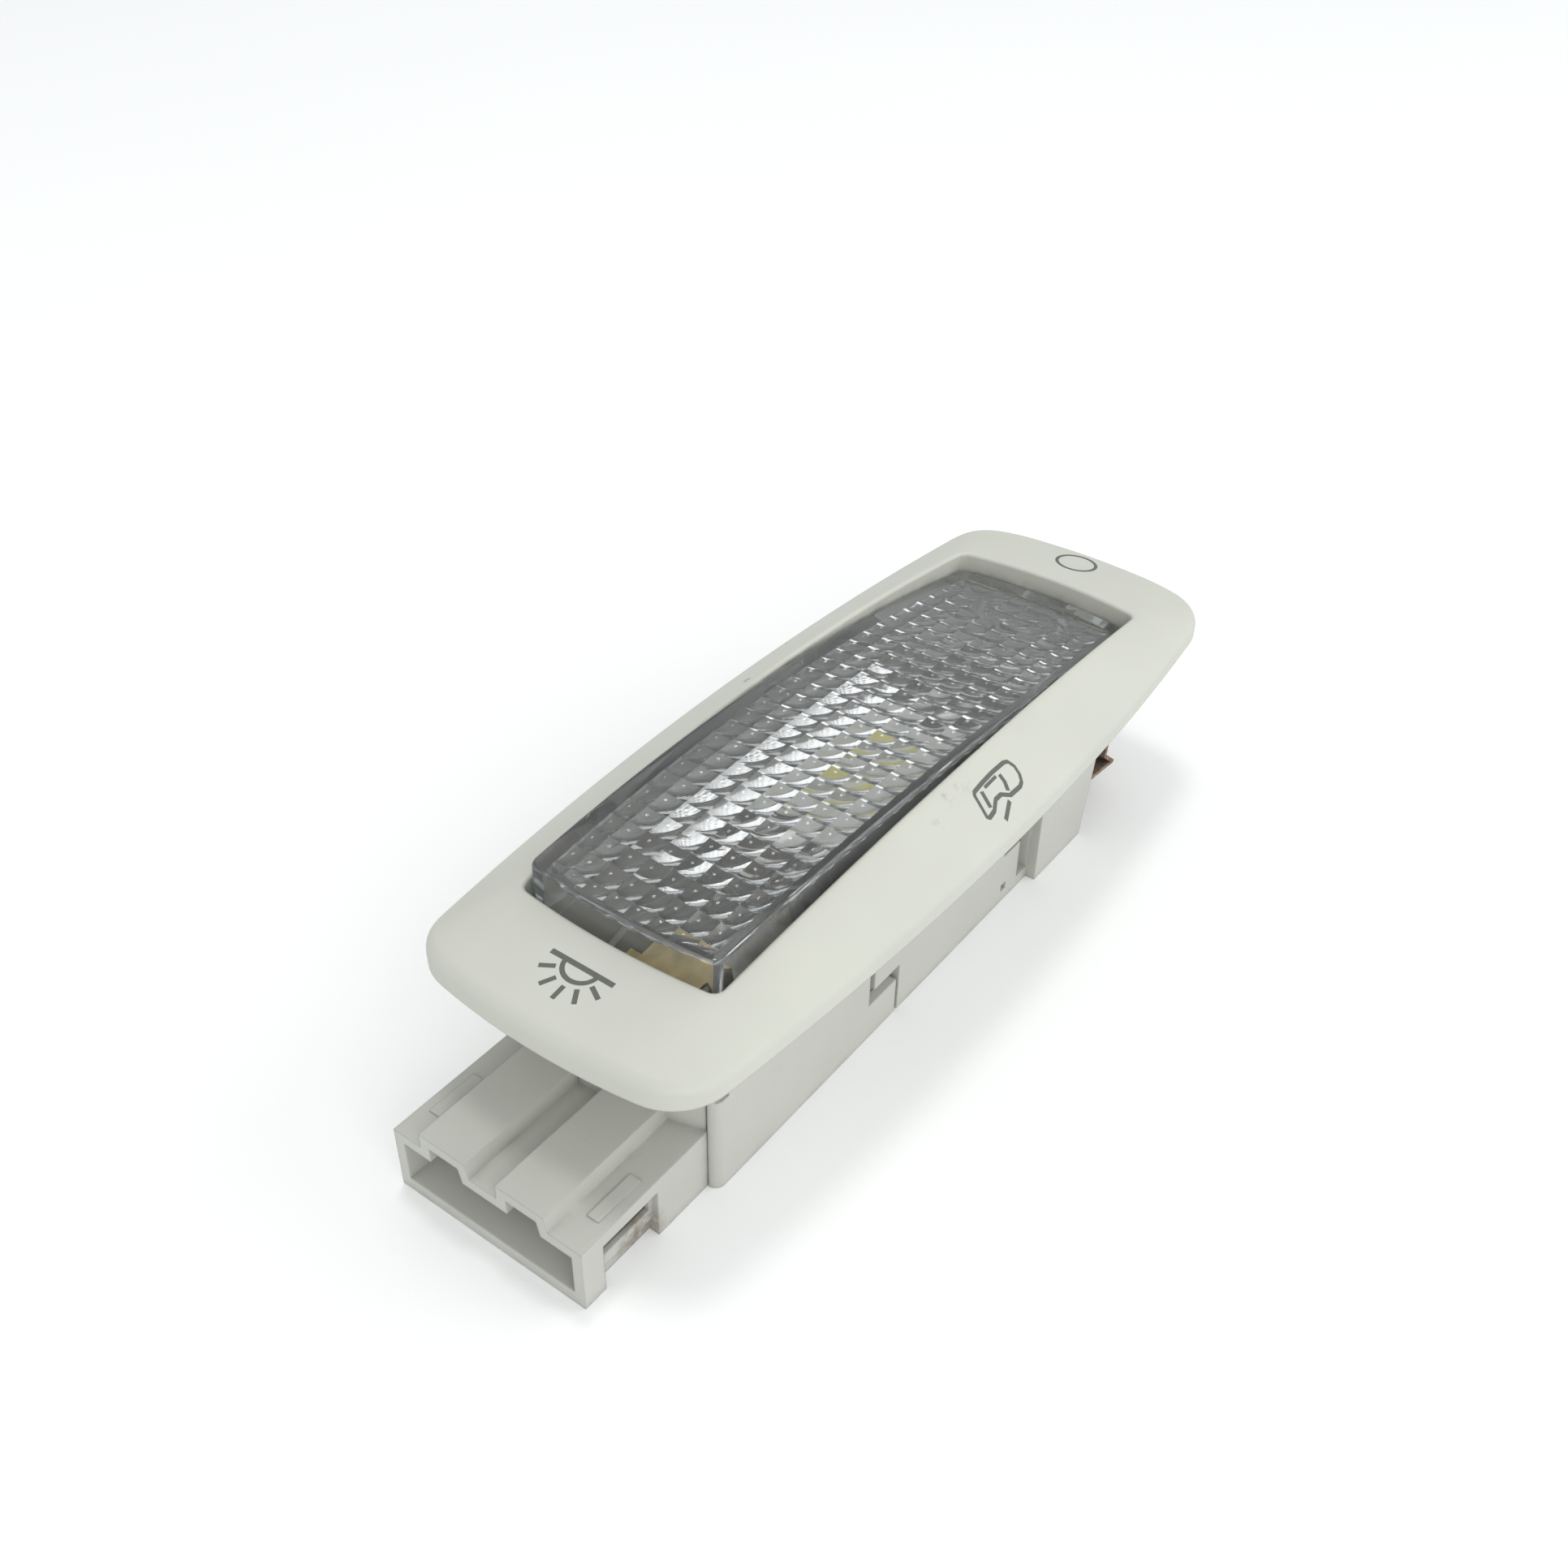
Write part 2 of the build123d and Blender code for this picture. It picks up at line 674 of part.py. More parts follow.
def make_door_terminal():
    """Middle plug terminal, turned up under the tip of the switch leaf."""
    end_x = -lens_half + leaf_inset + pin_width / 2
    blade = make_terminal(0, end_x)
    riser_top = leaf_z - leaf_sheet / 2 - contact_air
    return blade + block(end_x - pin_thickness, end_x, -pin_width / 2, pin_width / 2, plate_top, riser_top)


def make_off_leaf():
    """Plated switch leaf at the far end, under the lens post."""
    low = plate_top + leaf_sheet / 2
    arm_z = off_leaf_z + leaf_sheet / 2
    rise_x = plate_end - leaf_sheet
    path = [(rise_x - off_leaf_foot, low), (rise_x, low), (rise_x, arm_z), (lens_half - lens_wall, arm_z)]
    return bent_strip(path, leaf_sheet, -spring_split / 2 - off_leaf_width, -spring_split / 2)


def make_detent():
    """Steel detent leaf whose crest bears on the lens post."""
    low = plate_top + detent_sheet / 2
    crest_x = detent_x + detent_crest
    path = [(detent_x - detent_foot, low), (detent_x, low), (detent_x, detent_height - 2 * detent_crest),
            (crest_x, detent_height), (detent_x, detent_height + 2 * detent_crest)]
    return bent_strip(path, detent_sheet, spring_split / 2, spring_split / 2 + detent_width)


def make_clip():
    """Steel retaining spring under the far tray, kinked to snap behind a panel."""
    top = tray_z - clip_sheet / 2
    start = foot_length + clip_sheet
    reach = foot_length + clip_reach
    tip = reach + clip_tip
    path = [(start, top), (reach, top), (reach - clip_notch, clip_notch_z), (tip, clip_tip_z),
            (tip - clip_return, clip_end_z)]
    strip = bent_strip(path, clip_sheet, -clip_width / 2, clip_width / 2)
    return strip - Pos(stake_x, 0, tray_z) * Cylinder(stake_radius + stake_play, 4 * clip_sheet)


keep(make_bezel(), "bezel")
keep(make_lens(), "lens_rocker")
keep(make_housing(), "housing")
keep(make_terminal_cover(), "terminal_cover")
keep(make_carrier(), "connector_carrier")
keep(make_reflector(), "reflector")
keep(make_sink(), "lamp_heat_sink")
keep(make_board(), "lamp_board")
keep(make_chip(-1), "lamp_chip_near")
keep(make_chip(1), "lamp_chip_far")
keep(make_resistors(), "lamp_resistors")
keep(make_cap(-1), "lamp_cap_near")
keep(make_cap(1), "lamp_cap_far")
keep(make_holder(-1), "lamp_holder_near")
keep(make_holder(1), "lamp_holder_far")
keep(make_terminal(pin_pitch, -holder_x - holder_sheet), "terminal_lamp")
keep(make_door_terminal(), "terminal_door")
keep(make_terminal(-pin_pitch, holder_x + holder_foot), "terminal_ground")
keep(make_on_leaf(), "switch_leaf_on")
keep(make_off_leaf(), "switch_leaf_off")
keep(make_detent(), "detent_spring")
keep(make_clip(), "retaining_spring")
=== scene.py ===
"""Looks of the car interior lamp: prism lens, printed marks, materials, soft light and camera."""
import json
import math

import bmesh
import bpy
from mathutils import Matrix, Vector
from mathutils.bvhtree import BVHTree


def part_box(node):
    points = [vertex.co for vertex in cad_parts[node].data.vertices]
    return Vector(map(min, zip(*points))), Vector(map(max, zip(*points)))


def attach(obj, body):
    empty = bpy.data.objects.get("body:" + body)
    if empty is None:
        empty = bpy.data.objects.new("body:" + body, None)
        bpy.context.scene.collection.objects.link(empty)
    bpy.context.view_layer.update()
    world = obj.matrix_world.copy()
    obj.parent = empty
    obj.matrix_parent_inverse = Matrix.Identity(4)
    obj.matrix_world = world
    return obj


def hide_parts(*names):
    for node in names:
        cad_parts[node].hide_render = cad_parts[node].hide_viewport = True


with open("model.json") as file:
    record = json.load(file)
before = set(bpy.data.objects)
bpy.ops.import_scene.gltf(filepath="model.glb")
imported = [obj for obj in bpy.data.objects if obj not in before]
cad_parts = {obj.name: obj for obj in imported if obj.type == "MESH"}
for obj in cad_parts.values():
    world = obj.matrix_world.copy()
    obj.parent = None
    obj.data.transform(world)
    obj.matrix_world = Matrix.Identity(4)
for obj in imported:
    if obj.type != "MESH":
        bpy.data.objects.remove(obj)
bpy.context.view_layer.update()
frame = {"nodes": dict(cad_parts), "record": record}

MM = 0.001

# Plan outlines in millimetres, as in the solids: length, width, side bow, end bow, corner radius
BEZEL_PLAN = (105.0, 40.4, 3.4, 2.6, 6.5)
OPENING_PLAN = (82.4, 25.6, 0.75, 1.05, 1.2)
LENS_GAP = 0.5
LENS_PLAN = (OPENING_PLAN[0] - 2 * LENS_GAP, OPENING_PLAN[1] - 2 * LENS_GAP, *OPENING_PLAN[2:])

# Bezel sizes in millimetres
SEAT_Z = 20.6
ROLL_Z = 22.0
LIP_ROLL = 0.8
LIP_RADIUS_FLAT = 1.7
LIP_RADIUS_STEEP = 1.0
LIP_REACH = 0.6
LEAST_SLOPE = 0.05
RIM_BLEND = 0.3
END_BLEND = 1.1
COLLAR_LOW = 18.0
COLLAR_WALL = 1.3
BEZEL_WALL = 2.0
RIM_Z = 27.8
RIM_LAND = 0.4
RIM_ROLL = 0.4
MITRE_SPREAD = 0.45
STEEPENING = 0.25

# Lens sizes in millimetres
LENS_WALL = 1.6
EDGE_ROLL = 0.45
SUMMIT = 28.35
CROSS_DROP = 0.35
CROWN_RADIUS = 304.51
PLATE = 2.0
SKIRT_Z = 19.8
PITCH_X = 2.78
PITCH_Y = 2.68
PILLOW_RADIUS = 4.2
PIVOT_Z = 22.3
ROCK = math.radians(3.44)
POST_X = 34.0
POST_OUT = 5.9
POST_IN = 4.5
POST_LOW = 17.34
POST_BELOW_FACE = 0.9
PEG_RADIUS = 1.5
PEG_CHAMFER = 0.3
PEG_CLEARANCE = 0.05
PEG_IN = 11.8
PEG_OUT = 13.8
BORE_ENDS = (11.5, 15.0)

# Reflector section in millimetres, from its middle outwards: half of the inner face, in Y and Z
REFLECTOR_HALF = [(5.8, 8.8), (6.2, 16.2), (9.7, 19.7)]
REFLECTOR_SHEET = 0.5
REFLECTOR_END = 16.3
WING_END = 23.0

# Printed marks in millimetres: places along the lamp, and how the ink lies on the bezel
LAMP_ON_X = -44.87
LAMP_OFF_X = 48.1
INK_PROUD = 0.012
INK_SUNK = 0.05
INK_STEP = 0.3

# Steps in the meshes
FACE_RINGS = 26
EDGE_STEPS = 6
PILLOW_STEPS = 9
POST_SIDES = 72
PEG_SIDES = 32
BORE_SIDES = 40
LIP_STEPS = 8
FLANK_STEPS = 30
RIM_STEPS = 5
UNDER_STEPS = 8
TROUGH_STEPS = 24
WING_STEPS = 4

# Angles above which an edge stays sharp
LENS_CREASE = math.radians(14)
BEZEL_CREASE = math.radians(40)


def arc_radius(half_span, bow):
    """Radius of an arc that rises by the bow over half its span."""
    return (half_span**2 + bow**2) / (2 * bow)


def arc_fall(distance, radius):
    """How far such an arc has fallen at a distance from its middle."""
    return radius - math.sqrt(radius**2 - distance**2)


CROSS_RADIUS = arc_radius(OPENING_PLAN[1] / 2, CROSS_DROP)


def top_z(x, y):
    """Height of the lens face, crowned along and across."""
    return SUMMIT - arc_fall(y, CROSS_RADIUS) - arc_fall(x, CROWN_RADIUS)


def outline(plan, inset, arc_steps=20, corner_steps=10, side_steps=60):
    """Closed plan outline with bowed sides and rounded corners, drawn in by an even inset."""
    length, width, side_bow, end_bow, corner = plan
    side_radius = arc_radius(length / 2, side_bow)
    end_radius = arc_radius(width / 2, end_bow)
    side_centre = width / 2 - side_radius
    end_centre = length / 2 - end_radius
    cx, cy = length / 2 - corner, width / 2 - corner
    for _ in range(30):
        cx = end_centre + math.sqrt((end_radius - corner) ** 2 - cy**2)
        cy = side_centre + math.sqrt((side_radius - corner) ** 2 - cx**2)
    end_turn = math.atan2(cy, cx - end_centre)
    side_turn = math.atan2(cx, cy - side_centre)
    quarter = []
    for k in range(arc_steps):
        a = end_turn * k / arc_steps
        r = end_radius - inset
        quarter.append((end_centre + r * math.cos(a), r * math.sin(a)))
    for k in range(corner_steps):
        a = end_turn + (math.pi / 2 - side_turn - end_turn) * k / corner_steps
        r = corner - inset
        quarter.append((cx + r * math.cos(a), cy + r * math.sin(a)))
    for k in range(side_steps + 1):
        a = side_turn * (1 - k / side_steps)
        r = side_radius - inset
        quarter.append((r * math.sin(a), side_centre + r * math.cos(a)))
    half = quarter + [(-x, y) for x, y in reversed(quarter[:-1])]
    return half + [(x, -y) for x, y in reversed(half[1:-1])]


def band(bm, loop_a, loop_b):
    """Quads between two closed loops with as many points."""
    n = len(loop_a)
    for k in range(n):
        bm.faces.new((loop_a[k], loop_a[(k + 1) % n], loop_b[(k + 1) % n], loop_b[k]))


def zip_loops(bm, loop_a, loop_b):
    """Triangles between two closed loops with different numbers of points, both counter-clockwise."""
    def turn(v):
        return math.atan2(v.co.y / LENS_PLAN[1], v.co.x / LENS_PLAN[0]) % (2 * math.pi)

    def ordered(loop):
        start = min(range(len(loop)), key=lambda k: turn(loop[k]))
        return loop[start:] + loop[:start]

    a, b = ordered(loop_a), ordered(loop_b)
    ta = [turn(v) for v in a] + [2 * math.pi + turn(a[0])]
    tb = [turn(v) for v in b] + [2 * math.pi + turn(b[0])]
    i = j = 0
    while i < len(a) or j < len(b):
        va, vb = a[i % len(a)], b[j % len(b)]
        if j >= len(b) or (i < len(a) and ta[i + 1] <= tb[j + 1]):
            bm.faces.new((va, a[(i + 1) % len(a)], vb))
            i += 1
        else:
            bm.faces.new((va, b[(j + 1) % len(b)], vb))
            j += 1


def pivot_ring(bm, y, radius, sides):
    """Circle of points about the axis of the lens, at one place across the lamp."""
    turns = [2 * math.pi * k / sides for k in range(sides)]
    return [bm.verts.new((radius * math.cos(a), y, PIVOT_Z + radius * math.sin(a))) for a in turns]


def pillow_lines(creases):
    """Places across a row of pillows: (place, cell middle, half width)."""
    lines = []
    for a, b in zip(creases[:-1], creases[1:]):
        for k in range(PILLOW_STEPS):
            lines.append((a + (b - a) * k / PILLOW_STEPS, (a + b) / 2, (b - a) / 2))
    lines.append((creases[-1], (creases[-2] + creases[-1]) / 2, (creases[-1] - creases[-2]) / 2))
    return lines


def lens_face(bm):
    """Crowned face of the lens with its rolled edge and the outside of its skirt; returns the foot."""
    rim = None
    centre = bm.verts.new((0, 0, top_z(0, 0)))
    flat = outline(LENS_PLAN, EDGE_ROLL)
    for k in range(1, FACE_RINGS + 1):
        s = k / FACE_RINGS
        loop = [bm.verts.new((x * s, y * s, top_z(x * s, y * s))) for x, y in flat]
        if rim is None:
            for i in range(len(loop)):
                bm.faces.new((centre, loop[i], loop[(i + 1) % len(loop)]))
        else:
            band(bm, rim, loop)
        rim = loop
    for k in range(1, EDGE_STEPS + 1):
        a = math.pi / 2 * k / EDGE_STEPS
        drop = EDGE_ROLL * (1 - math.cos(a))
        points = outline(LENS_PLAN, EDGE_ROLL * (1 - math.sin(a)))
        loop = [bm.verts.new((x, y, top_z(x, y) - drop)) for x, y in points]
        band(bm, rim, loop)
        rim = loop
    foot = [bm.verts.new((v.co.x, v.co.y, SKIRT_Z)) for v in rim]
    band(bm, rim, foot)
    return foot


def lens_cells(bm):
    """Prism pillows under the plate, with straight borders, and the inside of the skirt; returns its foot."""
    inner_length = LENS_PLAN[0] / 2 - LENS_WALL
    inner_width = LENS_PLAN[1] / 2 - LENS_WALL
    side_radius = arc_radius(inner_length, LENS_PLAN[2])
    end_radius = arc_radius(inner_width, LENS_PLAN[3])
    rows = int(inner_length / PITCH_X + 0.5)
    columns = int(inner_width / PITCH_Y)
    creases_x = [-inner_length] + [(k + 0.5) * PITCH_X for k in range(-rows, rows)] + [inner_length]
    creases_y = [-inner_width] + [k * PITCH_Y for k in range(-columns, columns + 1)] + [inner_width]
    lines_x = pillow_lines(creases_x)
    lines_y = pillow_lines(creases_y)
    last_x, last_y = creases_x[-2], creases_y[-2]
    lift = (PITCH_X**2 + PITCH_Y**2) / (8 * PILLOW_RADIUS)
    grid = []
    for px, mx, ax in lines_x:
        column = []
        for py, my, ay in lines_y:
            x, y = px, py
            for _ in range(3):
                if abs(py) > last_y:
                    room = inner_width - arc_fall(x, side_radius) - last_y
                    y = math.copysign(last_y + (abs(py) - last_y) * room / (inner_width - last_y), py)
                if abs(px) > last_x:
                    room = inner_length - arc_fall(y, end_radius) - last_x
                    x = math.copysign(last_x + (abs(px) - last_x) * room / (inner_length - last_x), px)
            sag = (ax**2 - (px - mx) ** 2 + ay**2 - (py - my) ** 2) / (2 * PILLOW_RADIUS)
            z = SUMMIT - PLATE - arc_fall(x, CROWN_RADIUS) + lift - sag
            column.append(bm.verts.new((x, y, z)))
        grid.append(column)
    for i in range(len(grid) - 1):
        for j in range(len(grid[0]) - 1):
            bm.faces.new((grid[i][j], grid[i][j + 1], grid[i + 1][j + 1], grid[i + 1][j]))
    border = [grid[i][0] for i in range(len(grid))] + grid[-1][1:]
    border += [grid[i][-1] for i in range(len(grid) - 2, -1, -1)] + grid[0][-2:0:-1]
    low = [bm.verts.new((v.co.x, v.co.y, SKIRT_Z)) for v in border]
    band(bm, low, border)
    return low


def lens_post(bm):
    """Hollow press post under the far end of the lens."""
    def ring(radius, height):
        points = []
        for k in range(POST_SIDES):
            a = 2 * math.pi * k / POST_SIDES
            x, y = POST_X + radius * math.cos(a), radius * math.sin(a)
            points.append(bm.verts.new((x, y, height(x))))
        return points

    def within_plate(x):
        return top_z(x, 0) - POST_BELOW_FACE

    def at_end(x):
        return POST_LOW

    top_out, top_in = ring(POST_OUT, within_plate), ring(POST_IN, within_plate)
    low_out, low_in = ring(POST_OUT, at_end), ring(POST_IN, at_end)
    band(bm, low_out, top_out)
    band(bm, top_in, low_in)
    band(bm, top_out, top_in)
    band(bm, low_in, low_out)


def lens_pegs(bm):
    """Two chamfered pegs on which the lens rocks."""
    places = [
        (PEG_IN, PEG_RADIUS),
        (PEG_OUT - PEG_CHAMFER, PEG_RADIUS),
        (PEG_OUT, PEG_RADIUS - PEG_CHAMFER),
    ]
    for side in (-1, 1):
        loops = [pivot_ring(bm, side * y, radius, PEG_SIDES) for y, radius in places]
        band(bm, loops[0], loops[1])
        band(bm, loops[1], loops[2])
        bm.faces.new(loops[0])
        bm.faces.new(loops[2])


def make_lens():
    """Rocker lens: crowned face with a rolled edge, prism pillows below, skirt, post and pegs."""
    bm = bmesh.new()
    foot = lens_face(bm)
    low = lens_cells(bm)
    zip_loops(bm, foot, low)
    bmesh.ops.recalc_face_normals(bm, faces=bm.faces)
    body = mesh_object(bm, "lens")
    bm = bmesh.new()
    lens_post(bm)
    lens_pegs(bm)
    bmesh.ops.recalc_face_normals(bm, faces=bm.faces)
    joined = combine(body, mesh_object(bm, "lens_extra"), "UNION")
    joined.shade_smooth()
    joined.set_sharp_from_angle(angle=LENS_CREASE)
    turn = Matrix.Translation((0, 0, PIVOT_Z * MM)) @ Matrix.Rotation(ROCK, 4, "Y")
    joined.transform(turn @ Matrix.Translation((0, 0, -PIVOT_Z * MM)))
    return body


def mesh_object(bm, name):
    """Finished object from mesh data drawn in millimetres."""
    bmesh.ops.scale(bm, vec=(MM, MM, MM), verts=bm.verts)
    mesh = bpy.data.meshes.new(name)
    bm.to_mesh(mesh)
    bm.free()
    obj = bpy.data.objects.new(name, mesh)
    bpy.context.scene.collection.objects.link(obj)
    return obj


def combine(body, tool, operation):
    """Join a tool object to a body, or cut it away, and drop the tool."""
    step = body.modifiers.new("combine", "BOOLEAN")
    step.operation = operation
    step.solver = "EXACT"
    step.object = tool
    graph = bpy.context.evaluated_depsgraph_get()
    result = bpy.data.meshes.new_from_object(body.evaluated_get(graph))
    body.modifiers.clear()
    body.data = result
    bpy.data.objects.remove(tool)
    return result


def soft_min(a, b, reach):
    """Lower of two heights, blended where they are closer than a reach."""
    h = max(0.0, reach - abs(a - b)) / reach
    return min(a, b) - h * h * reach / 4


def bezel_z(x, y):
    """Height of the bezel's crowned face: flat across the rim, falling along its flanks."""
    x, y = abs(x), abs(y)
    half_length, half_opening = BEZEL_PLAN[0] / 2, OPENING_PLAN[0] / 2
    edge_y = BEZEL_PLAN[1] / 2 - arc_fall(x, arc_radius(half_length, BEZEL_PLAN[2]))
    side_fall = arc_fall(min(x, half_opening), arc_radius(half_opening, OPENING_PLAN[2]))
    rim_y = OPENING_PLAN[1] / 2 - side_fall + RIM_LAND
    past = max(0.0, x - half_opening) / (half_length - half_opening)
    rim_y += MITRE_SPREAD * past * (edge_y - rim_y)
    crown = RIM_Z - arc_fall(x, CROWN_RADIUS)
    slope = (crown - ROLL_Z - LIP_ROLL / 2) / (edge_y - rim_y) + STEEPENING
    lip_z = ROLL_Z + LIP_ROLL * (math.sqrt(1 + slope**2) - slope)
    top = crown + CROSS_DROP - arc_fall(y, arc_radius(rim_y, CROSS_DROP))
    chord = (crown - lip_z) / (edge_y - rim_y)
    curl = (slope - chord) / (BEZEL_WALL + edge_y - rim_y)
    flank = crown - (y - rim_y) * (chord + curl * (max(y, rim_y) - edge_y))
    return soft_min(top, flank, RIM_BLEND + END_BLEND * past)


def bezel_loops():
    """Closed loops of points round the bezel, from its seat over the face and rim to its underside."""
    edge = outline(BEZEL_PLAN, 0)
    inner = outline(BEZEL_PLAN, BEZEL_WALL)
    rim = outline(OPENING_PLAN, -RIM_ROLL)
    collar = outline(OPENING_PLAN, -COLLAR_WALL)
    count = len(edge)

    def drawn_in(k, inset):
        share = inset / BEZEL_WALL
        return tuple(a + (b - a) * share for a, b in zip(edge[k], inner[k]))

    rolls = []
    for k in range(count):
        height = bezel_z(*edge[k])
        slope = max(LEAST_SLOPE, (bezel_z(*drawn_in(k, LIP_REACH)) - height) / LIP_REACH)
        radius = LIP_RADIUS_FLAT - (LIP_RADIUS_FLAT - LIP_RADIUS_STEEP) * min(1.0, slope)
        rolls.append((radius, height + radius * (slope - math.sqrt(1 + slope**2)), math.atan2(1, slope)))
    loops = [[(*edge[k], SEAT_Z) for k in range(count)]]
    for step in range(LIP_STEPS + 1):
        loop = []
        for k, (radius, low, end) in enumerate(rolls):
            a = end * step / LIP_STEPS
            x, y = drawn_in(k, radius * (1 - math.cos(a)))
            loop.append((x, y, low + radius * math.sin(a)))
        loops.append(loop)
    start = loops[-1]
    for step in range(1, FLANK_STEPS + 1):
        share = step / FLANK_STEPS
        loop = []
        for k in range(count):
            x = start[k][0] + (rim[k][0] - start[k][0]) * share
            y = start[k][1] + (rim[k][1] - start[k][1]) * share
            loop.append((x, y, bezel_z(x, y)))
        loops.append(loop)
    top = loops[-1]
    for step in range(1, RIM_STEPS + 1):
        a = math.pi / 2 * step / RIM_STEPS
        ring = outline(OPENING_PLAN, -RIM_ROLL * (1 - math.sin(a)))
        loops.append([(*ring[k], top[k][2] - RIM_ROLL * (1 - math.cos(a))) for k in range(count)])
    loops.append([(x, y, COLLAR_LOW) for x, y, z in loops[-1]])
    loops.append([(*p, COLLAR_LOW) for p in collar])
    for step in range(UNDER_STEPS + 1):
        share = step / UNDER_STEPS
        loop = []
        for a, b in zip(collar, inner):
            x, y = a[0] + (b[0] - a[0]) * share, a[1] + (b[1] - a[1]) * share
            loop.append((x, y, bezel_z(x, y) - BEZEL_WALL))
        loops.append(loop)
    loops.append([(*p, SEAT_Z) for p in inner])
    return loops


def make_bezel():
    """Trim frame: crowned face with rolled lip and rim, hollow underside, collar and peg bores."""
    bm = bmesh.new()
    rings = [[bm.verts.new(p) for p in loop] for loop in bezel_loops()]
    for a, b in zip(rings, rings[1:] + rings[:1]):
        band(bm, a, b)
    bmesh.ops.recalc_face_normals(bm, faces=bm.faces)
    body = mesh_object(bm, "bezel_frame")

    bm = bmesh.new()
    for side in (-1, 1):
        ends = [pivot_ring(bm, side * y, PEG_RADIUS + PEG_CLEARANCE, BORE_SIDES) for y in BORE_ENDS]
        band(bm, *ends)
        bm.faces.new(ends[0])
        bm.faces.new(ends[1])
    bmesh.ops.recalc_face_normals(bm, faces=bm.faces)
    cut = combine(body, mesh_object(bm, "bores"), "DIFFERENCE")
    cut.shade_smooth()
    cut.set_sharp_from_angle(angle=BEZEL_CREASE)
    return body


def bent_sheet(bm, inner, outer, start, end, stations):
    """Sheet of one section drawn along X, closed at both ends."""
    section = inner + outer[::-1]
    loops = []
    for k in range(stations + 1):
        x = start + (end - start) * k / stations
        loops.append([bm.verts.new((x, p.x, p.y)) for p in section])
    for a, b in zip(loops[:-1], loops[1:]):
        band(bm, a, b)
    last = len(section) - 1
    for loop in (loops[0], loops[-1]):
        for k in range(len(inner) - 1):
            bm.faces.new((loop[k], loop[k + 1], loop[last - k - 1], loop[last - k]))


def make_reflector():
    """Polished trough around the lamp; its sloping flanges run on beside the near lamp holder."""
    inner = [Vector((-y, z)) for y, z in reversed(REFLECTOR_HALF)] + [Vector(p) for p in REFLECTOR_HALF]
    runs = [(b - a).normalized() for a, b in zip(inner[:-1], inner[1:])]
    outer = []
    for point, before, after in zip(inner, runs[:1] + runs, runs + runs[-1:]):
        below = Vector((before.y + after.y, -before.x - after.x)).normalized()
        reach = REFLECTOR_SHEET / below.dot(Vector((before.y, -before.x)))
        outer.append(point + below * reach)
    bm = bmesh.new()
    bent_sheet(bm, inner, outer, -REFLECTOR_END, REFLECTOR_END, TROUGH_STEPS)
    bent_sheet(bm, inner[:2], outer[:2], -WING_END, -REFLECTOR_END, WING_STEPS)
    bent_sheet(bm, inner[-2:], outer[-2:], -WING_END, -REFLECTOR_END, WING_STEPS)
    bmesh.ops.remove_doubles(bm, verts=bm.verts, dist=0.001)
    inside = [face for face in bm.faces if all(len(edge.link_faces) > 2 for edge in face.edges)]
    bmesh.ops.delete(bm, geom=inside, context="FACES_ONLY")
    bmesh.ops.recalc_face_normals(bm, faces=bm.faces)
    return mesh_object(bm, "reflector_trough")


# Printed marks, each a set of strokes drawn in plan and laid onto the bezel
def surface_tree(obj):
    """Search tree of an object's surface."""
    mesh = obj.data
    mesh.calc_loop_triangles()
    return BVHTree.FromPolygons([v.co[:] for v in mesh.vertices],
                                [t.vertices[:] for t in mesh.loop_triangles])


def resample(points, step):
    """Points along a line of straight runs, at most a step apart."""
    fine = [points[0]]
    for a, b in zip(points[:-1], points[1:]):
        n = max(1, math.ceil((b - a).length / step))
        fine += [a.lerp(b, k / n) for k in range(1, n + 1)]
    return fine


def stroke(bm, tree, points, width, closed=False):
    """One inked line of even width on the bezel, square at its ends."""
    pts = [Vector(p) for p in points]
    if closed:
        pts.append(pts[0])
    pts = resample(pts, INK_STEP)
    if closed:
        pts.pop()
    n = len(pts)
    above, down = 100 * MM, Vector((0, 0, -1))
    rows = []
    for k in range(n):
        before = pts[k - 1] if closed or k > 0 else pts[k]
        after = pts[(k + 1) % n] if closed or k < n - 1 else pts[k]
        ahead = (after - before).normalized()
        across = Vector((-ahead.y, ahead.x))
        row = []
        for s in (-0.5, -0.25, 0, 0.25, 0.5):
            p = pts[k] + across * (width * s)
            spot, normal, _, _ = tree.ray_cast(Vector((p.x * MM, p.y * MM, above)), down)
            row.append((spot / MM, normal))
        rows.append(row)
    upper = [[bm.verts.new(p + normal * INK_PROUD) for p, normal in row] for row in rows]
    lower = [[bm.verts.new(p - normal * INK_SUNK) for p, normal in (row[0], row[-1])] for row in rows]
    last = n if closed else n - 1
    for k in range(last):
        m = (k + 1) % n
        for s in range(4):
            bm.faces.new((upper[k][s], upper[k][s + 1], upper[m][s + 1], upper[m][s]))
        bm.faces.new((lower[k][0], upper[k][0], upper[m][0], lower[m][0]))
        bm.faces.new((upper[k][4], lower[k][1], lower[m][1], upper[m][4]))
        bm.faces.new((lower[k][1], lower[k][0], lower[m][0], lower[m][1]))
    if not closed:
        for k in (0, n - 1):
            bm.faces.new((lower[k][0], *upper[k], lower[k][1]))
    bmesh.ops.recalc_face_normals(bm, faces=bm.faces)


def ellipse(cx, cy, rx, ry, start, end, count):
    """Points on part of an ellipse, angles in degrees."""
    turns = [math.radians(start + (end - start) * k / count) for k in range(count + 1)]
    return [(cx + rx * math.cos(a), cy + ry * math.sin(a)) for a in turns]


